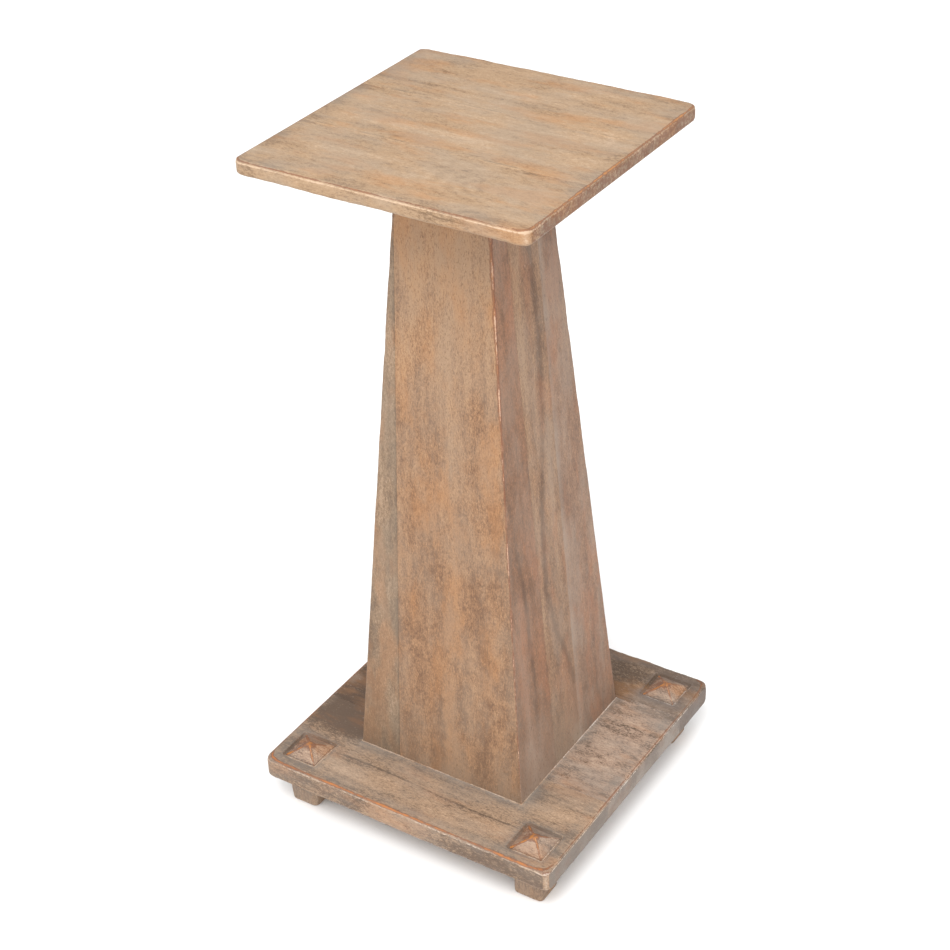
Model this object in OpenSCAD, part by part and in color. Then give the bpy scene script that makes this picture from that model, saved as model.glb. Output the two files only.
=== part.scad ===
// Wooden pedestal stand: a square top, a hollow four-sided tapering column and
// a square base slab with four pyramid studs, on four block feet.
// Millimetres, +Z up. The origin is on the floor, under the middle of the stand.
// The front of the stand faces -Y, and the boards of both slabs run along X.

/* [Top slab] */
// Side of the square top
top_w = 332; // [240:1:420]
// Thickness of the top boards
top_t = 16; // [12:0.5:30]
// Radius of the top's corners, seen from above
top_corner_r = 13; // [4:0.5:25]
// Width of the eased arris round the top
top_ease = 3.5; // [1:0.25:5]
// Distance from the middle to the joint behind the middle top board
top_joint_back = 51; // [20:1:90]
// Distance from the middle to the joint in front of the middle top board
top_joint_front = 54; // [20:1:90]

/* [Column] */
// Height of the column between the two slabs
column_h = 725; // [400:1:1000]
// Side of the column where it meets the top
column_top_w = 107; // [80:1:200]
// Side of the column where it meets the base
column_base_w = 216; // [200:1:300]
// Thickness of the column's panels, measured level
panel_t = 20; // [12:0.5:30]
// Distance of the front panel's joint from its middle, to the left
front_joint = 55.5; // [0:0.5:60]
// Distance of the right panel's front joint from its middle
right_joint_front = 30.5; // [5:0.5:60]
// Distance of the right panel's back joint from its middle
right_joint_back = 24; // [5:0.5:60]

/* [Base slab] */
// Width of the base slab's ledge, from the column's foot to the slab's side
ledge_w = 82; // [64:1:140]
// Thickness of the base boards
base_t = 28; // [20:0.5:50]
// Radius of the base slab's corners, seen from above
base_corner_r = 10; // [4:0.5:25]
// Width of the eased arris round the base slab
base_ease = 4.5; // [1:0.25:6]
// Distance from the middle to the joint behind the middle base board
base_joint_back = 114; // [60:1:120]
// Distance from the middle to the joint in front of the middle base board
base_joint_front = 58; // [20:1:110]

/* [Studs] */
// Side of a square stud
stud_w = 40; // [20:0.5:48]
// Gap between a stud and the wall of its recess
stud_gap = 3; // [0.5:0.25:5]
// Depth of the recess in the base slab
recess_d = 2.5; // [1:0.25:8]
// Width of flat wood between a recess and the edge of the slab
stud_margin = 15.5; // [10:0.5:24]
// Height of a stud's upright side, below the pyramid
stud_side_h = 1; // [0.5:0.25:8]
// Height of the worn tip above the slab's surface
stud_rise = 8.5; // [3:0.5:20]
// Side of the worn flat on the tip
stud_tip_w = 3; // [1:0.25:8]

/* [Feet] */
// Side of a block foot where it meets the slab
foot_w = 40; // [25:1:60]
// Amount by which the side of a foot narrows towards the floor
foot_taper = 3; // [0.5:0.25:10]
// Height of a foot's upright part, just under the slab
foot_upright_h = 10; // [2:1:20]
// Height of the feet
foot_h = 40; // [25:1:80]
// Distance from the slab's side to the side of the foot
foot_inset = 18; // [5:1:40]
// Radius of a foot's upright corners
foot_corner_r = 6; // [1:0.5:10]
// Width of the eased arris round the underside of a foot
foot_ease = 3; // [0.5:0.25:4]

/* [Hidden] */

base_w = column_base_w + 2 * ledge_w;
base_z = foot_h;
column_z = base_z + base_t;
top_z = column_z + column_h;
recess_w = stud_w + 2 * stud_gap;
stud_at = base_w / 2 - stud_margin - recess_w / 2;
foot_at = base_w / 2 - foot_inset - foot_w / 2;
reach = 2 * (base_w + top_w);

FRONT_LEFT = [-1, -1];
FRONT_RIGHT = [1, -1];
BACK_RIGHT = [1, 1];
BACK_LEFT = [-1, 1];

HONEY = "#b9936d";
TAN = "#a8845f";
GREY_TAN = "#98806b";
GREY_BROWN = "#8b7361";
RUST = "#b0714a";

$fn = 48;

// A square with round corners, drawn flat round the middle.
module round_square(w, r) {
    square([w, w - 2 * r], center = true);
    square([w - 2 * r, w], center = true);
    for (sx = [-1, 1], sy = [-1, 1])
        translate([sx * (w / 2 - r), sy * (w / 2 - r)]) circle(r = r);
}

// A four-sided block of height h, square above and below, with flat sloping
// sides: two long prisms of the same side view, crossed at a right angle.
module four_sided(w_below, w_above, h) {
    side = [[-w_below / 2, 0], [w_below / 2, 0], [w_above / 2, h], [-w_above / 2, h]];
    intersection() {
        rotate([90, 0, 0]) linear_extrude(reach, center = true) polygon(side);
        rotate([90, 0, 90]) linear_extrude(reach, center = true) polygon(side);
    }
}

// The space under a 45 degree bevel of width e round the top of a block w wide,
// which reaches well past the block's sides.
module under_bevel(w, e, h) {
    four_sided(w + 2 * (h - e), w - 2 * e, h);
}

// A square slab with round corners and its arrises eased above and below.
module slab(w, t, r, ease_above, ease_below) {
    intersection() {
        linear_extrude(t) round_square(w, r);
        under_bevel(w, ease_above, t);
        translate([0, 0, t]) mirror([0, 0, 1]) under_bevel(w, ease_below, t);
    }
}

// Keeps the part of its children that lies between two upright planes.
module between(from, to, across) {
    size = across == "y" ? [reach, to - from, reach] : [to - from, reach, reach];
    at = across == "y" ? [-reach / 2, from, 0] : [from, -reach / 2, 0];
    intersection() {
        children();
        translate(at) cube(size);
    }
}

// The whole top, before it is parted into its boards.
module top_slab() {
    translate([0, 0, top_z]) slab(top_w, top_t, top_corner_r, top_ease, top_ease);
}

module top_board_back() {
    color(TAN) between(top_joint_back, top_w, "y") top_slab();
}

module top_board_middle() {
    color(HONEY) between(-top_joint_front, top_joint_back, "y") top_slab();
}

module top_board_front() {
    color(HONEY) between(-top_w, -top_joint_front, "y") top_slab();
}

// The column's walls: four panels of even thickness round a tapering hollow.
module column_walls() {
    inner_below = column_base_w - 2 * panel_t;
    inner_above = column_top_w - 2 * panel_t;
    slope = (column_base_w - column_top_w) / column_h;
    translate([0, 0, column_z]) difference() {
        four_sided(column_base_w, column_top_w, column_h);
        translate([0, 0, -1])
            four_sided(inner_below + slope, inner_above - slope, column_h + 2);
    }
}

// One wall, cut out of the column along the mitres at its two corners. A turn
// of 0 gives the front wall, 90 the right one, 180 the back and 270 the left.
module wall(turn) {
    intersection() {
        column_walls();
        rotate([0, 0, turn]) linear_extrude(top_z + top_t)
            polygon([[0, 0], [-reach, -reach], [reach, -reach]]);
    }
}

module column_front_board() {
    color(TAN) between(-front_joint, reach / 4, "x") wall(0);
}

module column_front_strip() {
    color(GREY_TAN) between(-reach / 4, -front_joint, "x") wall(0);
}

module column_right_board_front() {
    color(GREY_BROWN) between(-reach / 4, -right_joint_front, "y") wall(90);
}

module column_right_board_middle() {
    color(TAN) between(-right_joint_front, right_joint_back, "y") wall(90);
}

module column_right_board_back() {
    color(GREY_BROWN) between(right_joint_back, reach / 4, "y") wall(90);
}

module column_back_panel() {
    color(GREY_TAN) wall(180);
}

module column_left_panel() {
    color(GREY_BROWN) wall(270);
}

// The whole base slab with its four recesses, before it is parted into boards.
module base_slab() {
    translate([0, 0, base_z]) difference() {
        slab(base_w, base_t, base_corner_r, base_ease, base_ease);
        for (corner = [FRONT_LEFT, FRONT_RIGHT, BACK_RIGHT, BACK_LEFT])
            translate([corner[0] * stud_at, corner[1] * stud_at, base_t])
                cube([recess_w, recess_w, 2 * recess_d], center = true);
    }
}

module base_board_back() {
    color(GREY_BROWN) between(base_joint_back, base_w, "y") base_slab();
}

module base_board_middle() {
    color(GREY_TAN) between(-base_joint_front, base_joint_back, "y") base_slab();
}

module base_board_front() {
    color(TAN) between(-base_w, -base_joint_front, "y") base_slab();
}

// A square stud with a low pyramid head, standing in its recess.
module stud(corner) {
    head_h = recess_d - stud_side_h + stud_rise;
    at = [corner[0] * stud_at, corner[1] * stud_at, column_z - recess_d];
    color(RUST) translate(at) {
        translate([-stud_w / 2, -stud_w / 2, 0]) cube([stud_w, stud_w, stud_side_h]);
        translate([0, 0, stud_side_h]) four_sided(stud_w, stud_tip_w, head_h);
    }
}

// A block foot with round upright corners and an eased underside. Its sides
// are upright at the slab and slope in from there down to the floor.
module foot(corner) {
    floor_w = foot_w - foot_taper;
    slope = foot_taper / (foot_h - foot_upright_h);
    color(GREY_TAN) translate([corner[0] * foot_at, corner[1] * foot_at, 0])
        intersection() {
            linear_extrude(foot_h) round_square(foot_w, foot_corner_r);
            four_sided(floor_w, floor_w + slope * foot_h, foot_h);
            translate([0, 0, foot_h]) mirror([0, 0, 1])
                under_bevel(floor_w, foot_ease, foot_h);
        }
}

top_board_back();
top_board_middle();
top_board_front();
column_front_board();
column_front_strip();
column_right_board_front();
column_right_board_middle();
column_right_board_back();
column_back_panel();
column_left_panel();
base_board_back();
base_board_middle();
base_board_front();
stud(FRONT_LEFT);  // stud_front_left
stud(FRONT_RIGHT);  // stud_front_right
stud(BACK_RIGHT);  // stud_back_right
stud(BACK_LEFT);  // stud_back_left
foot(FRONT_LEFT);  // foot_front_left
foot(FRONT_RIGHT);  // foot_front_right
foot(BACK_RIGHT);  // foot_back_right
foot(BACK_LEFT);  // foot_back_left
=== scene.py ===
"""The looks of a wooden pedestal stand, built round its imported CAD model, in metres.

The front of the stand faces -Y, its right side faces +X, and +Z is up.
"""

import math

import bmesh
import bpy
import numpy as np
from mathutils import Matrix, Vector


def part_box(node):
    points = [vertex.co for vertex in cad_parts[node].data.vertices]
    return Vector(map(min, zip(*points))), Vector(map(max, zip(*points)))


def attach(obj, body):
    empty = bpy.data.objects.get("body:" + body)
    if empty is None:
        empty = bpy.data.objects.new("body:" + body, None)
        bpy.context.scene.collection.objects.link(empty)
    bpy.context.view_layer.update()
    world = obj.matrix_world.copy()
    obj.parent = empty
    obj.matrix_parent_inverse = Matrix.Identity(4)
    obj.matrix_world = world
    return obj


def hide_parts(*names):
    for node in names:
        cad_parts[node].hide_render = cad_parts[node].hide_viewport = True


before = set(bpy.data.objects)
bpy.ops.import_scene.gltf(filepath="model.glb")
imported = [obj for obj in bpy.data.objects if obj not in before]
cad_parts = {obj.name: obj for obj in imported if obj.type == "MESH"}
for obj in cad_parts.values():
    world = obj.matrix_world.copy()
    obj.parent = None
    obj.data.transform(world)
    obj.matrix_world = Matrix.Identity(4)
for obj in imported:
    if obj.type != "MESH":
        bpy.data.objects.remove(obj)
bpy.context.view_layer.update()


# ---- Feet ----
# Four blocks of mango wood under the corners of the base slab, glued on with the grain upright.
# They were sawn square, tapered a little, rubbed round at the corners and given the same grey
# lime wash as the slab above.

MM = 0.001


def inset(depth, radius):
    """How far a round arris has drawn back at this depth in from the edge: a quarter circle."""
    rest = np.clip(radius - depth, 0, radius)
    return radius - np.sqrt(radius**2 - rest**2)


def ripples(a, b, size_a, size_b, seed):
    """Uneven waves from -1 to 1: a sum of nine sine waves of random slant and start, whose
    lengths are near size_a along a and near size_b along b, with its peaks pressed under 1."""
    rng = np.random.default_rng(seed)
    waves = 9
    total = 0
    for wave in range(waves):
        turn = rng.uniform(0, 2 * np.pi)
        pace = rng.uniform(0.5, 1.7)
        slant = pace * (a * np.cos(turn) / size_a + b * np.sin(turn) / size_b)
        total = total + np.sin(2 * np.pi * slant + rng.uniform(0, 2 * np.pi))
    return np.tanh(total / np.sqrt(waves))


def chain(flat, arc_steps):
    """A line across a block from one side to the other, over its two rounded arrises.

    Returns, for each point, its share of the way across the flat, and the sideways and outward
    parts of the surface's slant: a quarter turn, the flat's own shares, and a quarter turn.
    """
    turn = np.linspace(0, np.pi / 2, arc_steps + 1)[:-1]
    share = np.concatenate([0 * turn, flat, 1 + 0 * turn])
    sideways = np.concatenate([-np.cos(turn), 0 * flat, np.cos(turn[::-1])])
    outward = np.concatenate([np.sin(turn), 1 + 0 * flat, np.sin(turn[::-1])])
    return share, sideways, outward


def loft(name, under, over, side_rows):
    """A closed solid between two faces, each a grid of stations by points across, in metres.

    The sides are straight rows from the edges of one face to the edges of the other, and the
    two ends are filled with straight rows between the first and the last stations.
    """
    stations, across = under.shape[:2]
    rows = np.linspace(0, 1, side_rows + 2)[None, 1:-1, None]
    far_side = under[:, -1:] * (1 - rows) + over[:, -1:] * rows
    near_side = over[:, :1] * (1 - rows) + under[:, :1] * rows
    rings = np.concatenate([under, far_side, over[:, ::-1], near_side], axis=1)
    count = rings.shape[1]
    number = np.arange(stations * count).reshape(stations, count)
    here, there = number[:-1], number[1:]
    round_it = [here, np.roll(here, -1, 1), np.roll(there, -1, 1), there]
    quads = [np.stack(round_it, -1).reshape(-1, 4)]
    points = [rings.reshape(-1, 3)]
    first_free = stations * count
    for station in (0, stations - 1):
        ring = number[station]
        cap = np.zeros((across, side_rows + 2), dtype=int)
        cap[:, 0] = ring[:across]
        cap[:, -1] = ring[across + side_rows:2 * across + side_rows][::-1]
        cap[-1, 1:-1] = ring[across:across + side_rows]
        cap[0, 1:-1] = ring[2 * across + side_rows:][::-1]
        inner = (across - 2) * side_rows
        cap[1:-1, 1:-1] = first_free + np.arange(inner).reshape(across - 2, side_rows)
        first_free += inner
        row = rows[0, None]
        filled = under[station, 1:-1, None] * (1 - row) + over[station, 1:-1, None] * row
        points.append(filled.reshape(-1, 3))
        corners = [cap[:-1, :-1], cap[1:, :-1], cap[1:, 1:], cap[:-1, 1:]]
        quads.append(np.stack(corners, -1).reshape(-1, 4))
    mesh = bpy.data.meshes.new(name)
    mesh.from_pydata(np.concatenate(points), [], np.concatenate(quads))
    shell = bmesh.new()
    shell.from_mesh(mesh)
    bmesh.ops.recalc_face_normals(shell, faces=shell.faces)
    shell.to_mesh(mesh)
    shell.free()
    mesh.shade_smooth()
    mesh.set_sharp_from_angle(angle=math.radians(50))
    piece = bpy.data.objects.new(name, mesh)
    bpy.context.scene.collection.objects.link(piece)
    return piece


def points_of(piece):
    """The places of a piece's points, as an array of rows of x, y and z."""
    flat = np.empty(3 * len(piece.data.vertices))
    piece.data.vertices.foreach_get("co", flat)
    return flat.reshape(-1, 3)


def mark(piece, **fields):
    """Stores each field, one number per point, as an attribute that the wood's material reads."""
    for name, values in fields.items():
        spots = piece.data.attributes.new(name, "FLOAT", "POINT")
        spots.data.foreach_set("value", np.broadcast_to(values, len(piece.data.vertices)).astype("f"))


def from_arrises(p, low, high, arrises):
    """Distance from each point to the nearest of a block's named arrises, each of which is
    where two sides of the box from low to high meet."""
    gap = {
        "left": p[:, 0] - low[0], "right": high[0] - p[:, 0],
        "front": p[:, 1] - low[1], "back": high[1] - p[:, 1],
        "under": p[:, 2] - low[2], "top": high[2] - p[:, 2],
    }
    return np.min([np.hypot(gap[one], gap[other]) for one, other in arrises], axis=0)


def growth(along, across, centre, depth, slope, spacing):
    """Count of growth rings at a place on a board sawn out of a log.

    The log's heart runs along the board at 'centre' across it. It lies 'depth' below the face
    at along = 0 and sinks by 'slope', never rising above the face. The rings are circles round
    it, so the count is the distance from the heart over the rings' spacing, and where the heart
    sinks the rings close over it in arches.
    """
    below = depth + slope * along
    soft = 6 * MM
    below = 0.5 * (below + np.sqrt(below**2 + soft**2))
    return np.hypot(across - centre, below) / spacing


def linear(code, alpha=1.0):
    """A colour from its sRGB hex code, as linear red, green and blue with alpha.

    Each share is divided by 12.92 near black, and above that it has 0.055 added, is divided by
    1.055 and is raised to the power of 2.4.
    """
    shares = np.array([int(code[i:i + 2], 16) / 255 for i in (1, 3, 5)])
    bright = ((shares + 0.055) / 1.055)**2.4
    return (*np.where(shares <= 0.04045, shares / 12.92, bright), alpha)


def add(tree, kind, inputs, **settings):
    """Adds a node with its settings, and the value or the link that each input gets. Inputs are
    given by name, or in the node's own order, and a node stands for its first output."""
    node = tree.nodes.new(kind)
    for name, value in settings.items():
        setattr(node, name, value)
    for name, value in inputs.items() if isinstance(inputs, dict) else enumerate(inputs):
        if isinstance(value, bpy.types.Node):
            value = value.outputs[0]
        if isinstance(value, bpy.types.NodeSocket):
            tree.links.new(value, node.inputs[name])
        else:
            node.inputs[name].default_value = value
    return node


def limed_mango(name, grain, pale, mid, dark, wash, wash_share, bare, crest, rings=0.1, streaks=0.5,
                coarse=1.0, warm=0.36):
    """Planed mango wood, rubbed with a thin grey lime wash and waxed, then sanded at its arrises.

    The eye sees soft tan bands along the grain, short fibres, sanding grit and open pores, grey
    clouds of wash, and bare rust and orange wood where an arris is rubbed through. The matt wax
    has an IOR near 1.45 and scatters most of its gloss.

    'grain' is the axis that the fibres follow. pale, mid and dark are the wood's colours from
    its lightest bands to its pores, wash is the lime's, bare is the warm wood's under it, and
    crest is that of the wax on an edge. rings, streaks and coarse say how strongly the growth
    rings, the bands and the fine marks show, wash_share how much lime the clouds hold, and warm
    how far the warm wood shows in patches. The attributes figure, tone, stain, rub and pale
    come from the piece's own points.
    """
    material = bpy.data.materials.new(name)
    material.use_nodes = True
    tree = material.node_tree
    tree.nodes.clear()
    place = add(tree, "ShaderNodeTexCoord", {}).outputs["Object"]

    # Each noise's size across the grain in millimetres, and how it is squashed along it, so that
    # it is drawn out by one over that. On the real wood fibres, pores and grit are a few tenths
    # of a millimetre wide, and here they are drawn three to five times as coarse so that they show.
    noise = {}
    for kind, size_mm, squash, detail, roughness in (
            ("band", 22, 0.24, 4, 0.6),
            ("cloud", 40, 0.45, 5, 0.62),
            ("mottle", 6, 0.4, 4, 0.7),
            ("fibre", 1.3, 0.12, 3, 0.7),
            ("grit", 1.6, 0.5, 4, 0.85),
            ("pore", 1.1, 0.25, 2, 0.5),
            ("scuff", 2.2, 0.6, 3, 0.7),
            ("patch", 30, 0.3, 4, 0.6),
            ("rub", 4, 0.45, 5, 0.8),
            ("crest", 2.4, 0.6, 4, 0.85)):
        stretch = [squash if axis == grain else 1.0 for axis in "xyz"]
        where = add(tree, "ShaderNodeVectorMath", (place, stretch), operation="MULTIPLY")
        noise[kind] = add(tree, "ShaderNodeTexNoise", {
            "Vector": where, "Scale": 1 / (size_mm * MM), "Detail": detail, "Roughness": roughness,
        })
    field = {}
    for attribute in ("figure", "tone", "stain", "rub", "pale"):
        field[attribute] = add(tree, "ShaderNodeAttribute", {}, attribute_name=attribute).outputs["Fac"]
    soft = {"interpolation_type": "SMOOTHSTEP"}

    # How deep the wood's own colour is, from 0 to 1: the sine of the ring count, the board's
    # tone, and each noise swinging about its middle by its gain.
    turns = add(tree, "ShaderNodeMath", (noise["band"], 1.5, field["figure"]), operation="MULTIPLY_ADD")
    turns = add(tree, "ShaderNodeMath", (turns, 2 * math.pi), operation="MULTIPLY")
    ring = add(tree, "ShaderNodeMath", (turns,), operation="SINE")
    clear = add(tree, "ShaderNodeMapRange", (noise["cloud"], 0.42, 0.6, 0.25 * rings, rings), **soft)
    ring = add(tree, "ShaderNodeMath", (ring, clear), operation="MULTIPLY")
    depth = add(tree, "ShaderNodeMath", (field["tone"], 0.5), operation="ADD")
    depth = add(tree, "ShaderNodeMath", (ring, depth), operation="ADD")
    gains = {"band": 2.2 * streaks, "mottle": 1.1 * coarse, "fibre": 1.1 * coarse, "grit": 2.9 * coarse}
    for kind, gain in gains.items():
        swing = add(tree, "ShaderNodeMath", (noise[kind], gain, -0.5 * gain), operation="MULTIPLY_ADD")
        depth = add(tree, "ShaderNodeMath", (depth, swing), operation="ADD")

    # The lime lies in broad clouds, and thicker where it pooled.
    lime = add(tree, "ShaderNodeMapRange", (noise["cloud"], 0.4, 0.62, 0.0, 1.0), **soft)
    lime = add(tree, "ShaderNodeMath", (lime, wash_share), operation="MULTIPLY")
    pooled = add(tree, "ShaderNodeMapRange", (noise["grit"], 0.3, 0.6, 0.75, 1.1), **soft)
    pooled = add(tree, "ShaderNodeMath", (field["stain"], pooled), operation="MULTIPLY")
    lime = add(tree, "ShaderNodeMath", (lime, pooled), operation="ADD", use_clamp=True)
    open_pore = add(tree, "ShaderNodeMapRange", (noise["pore"], 0.58, 0.68, 0.0, 1.0), **soft)
    pore_share = add(tree, "ShaderNodeMath", (open_pore, 0.45 * coarse), operation="MULTIPLY")

    # Noise breaks up the rub and the wax along the arrises, as hand sanding does.
    broken = add(tree, "ShaderNodeMapRange", (noise["rub"], 0.3, 0.7, 0.5, 1.5), **soft)
    rubbed = add(tree, "ShaderNodeMath", (field["rub"], broken), operation="MULTIPLY")
    broken = add(tree, "ShaderNodeMapRange", (noise["crest"], 0.32, 0.68, 0.45, 1.55), **soft)
    crested = add(tree, "ShaderNodeMath", (field["pale"], broken), operation="MULTIPLY")

    # Coats of colour, each laid over the last by its share. The rim of a rub is rust.
    rust = "#6b3f29"
    coats = (
        (add(tree, "ShaderNodeMapRange", (depth, 0.0, 0.5, 0.0, 1.0), **soft), mid),
        (add(tree, "ShaderNodeMapRange", (depth, 0.5, 1.0, 0.0, 1.0), **soft), dark),
        (add(tree, "ShaderNodeMapRange", (noise["patch"], 0.48, 0.64, 0.0, warm), **soft), bare),
        (lime, wash),
        (pore_share, dark),
        (add(tree, "ShaderNodeMapRange", (noise["scuff"], 0.6, 0.72, 0.0, 0.2), **soft), crest),
        (add(tree, "ShaderNodeMapRange", (rubbed, 0.16, 0.34, 0.0, 0.7), **soft), rust),
        (add(tree, "ShaderNodeMapRange", (rubbed, 0.38, 0.95, 0.0, 0.85), **soft), bare),
        (add(tree, "ShaderNodeMapRange", (crested, 0.25, 0.8, 0.0, 0.8), **soft), crest),
    )
    colour = linear(pale)
    for share, coat in coats:
        mixed = add(tree, "ShaderNodeMix", {0: share, 6: colour, 7: linear(coat)}, data_type="RGBA")
        colour = mixed.outputs[2]

    # Pores are sunk, and fibres and grit stand proud, by part of the bump's depth.
    relief = add(tree, "ShaderNodeMath", (noise["fibre"], 0.6), operation="MULTIPLY")
    relief = add(tree, "ShaderNodeMath", (open_pore, -0.7, relief), operation="MULTIPLY_ADD")
    gritty = add(tree, "ShaderNodeMath", (noise["grit"], 0.6), operation="MULTIPLY")
    relief = add(tree, "ShaderNodeMath", (relief, gritty), operation="ADD")
    bump = add(tree, "ShaderNodeBump", {"Height": relief, "Strength": 0.4, "Distance": 0.4 * MM})
    gloss = add(tree, "ShaderNodeMapRange", (noise["fibre"], 0.3, 0.7, 0.66, 0.54), **soft)
    shader = add(tree, "ShaderNodeBsdfPrincipled", {
        "Base Color": colour, "Roughness": gloss, "IOR": 1.45, "Normal": bump,
    })
    add(tree, "ShaderNodeOutputMaterial", {"Surface": shader})
    return material


FOOT_EASE = 3 * MM
FOOT_CORNER = 6 * MM
FOOT_TAPER = 3 * MM
FOOT_RUB = 4.5 * MM
FOOT_WASH = 25 * MM
UPRIGHTS = [("left", "front"), ("right", "front"), ("left", "back"), ("right", "back")]
UNDER_EDGES = [("left", "under"), ("right", "under"), ("front", "under"), ("back", "under")]
foot_wood = limed_mango(
    "limed_mango_feet", "z", "#a48d77", "#8c735e", "#6b5645", "#786c61", 0.5, "#976f47", "#b49b82")


def foot(name, seed):
    """A block round the foot's upright middle: its half side is the CAD block's, less a straight
    taper towards the floor and a round arris at the floor."""
    low, high = map(np.array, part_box(name))
    middle = (low + high) / 2
    turn = np.linspace(0, np.pi / 2, 7)
    arris = low[2] + FOOT_EASE * (1 - np.cos(turn))
    height = np.concatenate([arris, np.linspace(low[2] + 5 * MM, high[2], 18)])
    share, sideways, outward = chain(np.linspace(0, 1, 12), 6)
    up = height[:, None]
    half = (high[0] - low[0]) / 2 - 0.5 * FOOT_TAPER * (high[2] - up) / (high[2] - low[2])
    half = half - inset(up - low[2], FOOT_EASE)
    half = half - 0.3 * MM * (1 + ripples(up, sideways, 0.03, 2, seed))
    x = middle[0] + (half - FOOT_CORNER) * (2 * share - 1) + FOOT_CORNER * sideways
    reach = half - FOOT_CORNER + FOOT_CORNER * outward
    z = np.broadcast_to(up, x.shape)
    front = np.stack([x, middle[1] - reach, z], -1)
    back = np.stack([x, middle[1] + reach, z], -1)
    block = loft(name + "_block", front, back, 9)
    p = points_of(block)
    drawn_in = np.array([1, 1, 0]) * MM
    near = from_arrises(p, low + drawn_in, high - drawn_in, UPRIGHTS + UNDER_EDGES)
    rub = np.exp(-(near / FOOT_RUB)**2) * (0.75 + 0.4 * ripples(p[:, 2], p[:, 0], 0.02, 0.05, seed + 1))
    rings = growth(p[:, 2], p[:, 0] + p[:, 1], middle[0] + middle[1] + 0.06, 0.03, 0, 4 * MM)
    mark(block, figure=rings, tone=0.15 * ripples(p[:, 0], p[:, 2], 0.03, 0.2, seed + 2),
         rub=0.3 * rub, pale=0.75 * rub,
         stain=0.5 * np.clip((p[:, 2] - high[2]) / FOOT_WASH + 1, 0, 1))
    block.data.materials.append(foot_wood)
    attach(block, "root")
    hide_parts(name)


for seed, corner in enumerate(("front_left", "front_right", "back_right", "back_left")):
    foot("foot_" + corner, 10 * seed)


# ---- Base slab ----
# Three mango boards, edge-glued side by side with their grain along X, planed flat and hand
# rubbed at the edges. Four square recesses are cut in its top for the studs. It is greyer than
# the rest, and its front arris is rubbed through to orange wood.

BASE_EASE = 5 * MM
BASE_CORNER = 10 * MM
JOINT_EASE = 0.45 * MM
slab_low = np.array(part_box("base_board_front")[0])
slab_high = np.array(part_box("base_board_back")[1])
BASE_HALF = slab_high[0]
stud_low, stud_high = map(np.array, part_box("stud_front_right"))
STUD_AT = (stud_low[0] + stud_high[0]) / 2
STUD_HALF = (stud_high[0] - stud_low[0]) / 2
RECESS_HALF = STUD_HALF + 3 * MM
RECESS_CORNER = 3.5 * MM
RECESS_DEPTH = slab_high[2] - stud_low[2]
COLUMN_HALF = np.array(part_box("column_back_panel")[1])[0]
GRID_STEP = 3.2 * MM


def from_recess(x, y):
    """Distance outwards from the nearest recess's edge to a place on the slab, negative inside.

    It is the distance to a square that is smaller by the corner radius, less that radius.
    """
    a = abs(abs(x) - STUD_AT) - RECESS_HALF + RECESS_CORNER
    b = abs(abs(y) - STUD_AT) - RECESS_HALF + RECESS_CORNER
    return np.hypot(a.clip(0), b.clip(0)) + np.minimum(np.maximum(a, b), 0) - RECESS_CORNER


def from_column(x, y):
    """Distance outwards from the foot of the column to a place on the slab."""
    return np.maximum(abs(x), abs(y)) - COLUMN_HALF


def with_lines(plain, lines):
    """Even places together with extra lines close to each feature, sorted, less each one that
    lies within 0.3 mm of the one before it."""
    places = np.sort(np.concatenate([plain, lines]))
    keep = np.concatenate([[True], np.diff(places) > 0.3 * MM])
    return places[keep]


def end_grid(half, corner, lines):
    """Places along a board: even steps and the extra lines in its middle, and steps that close
    up over each rounded end as a quarter turn does."""
    turn = np.linspace(0, np.pi / 2, 16)
    end = half - corner * (1 - np.sin(turn))
    flat = np.arange(-half + corner, half - corner, GRID_STEP)[1:]
    inner = [line for line in lines if abs(line) < half - corner - 0.5 * MM]
    flat = with_lines(flat, np.array(inner))
    return np.concatenate([-end[::-1], flat, end])


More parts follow.
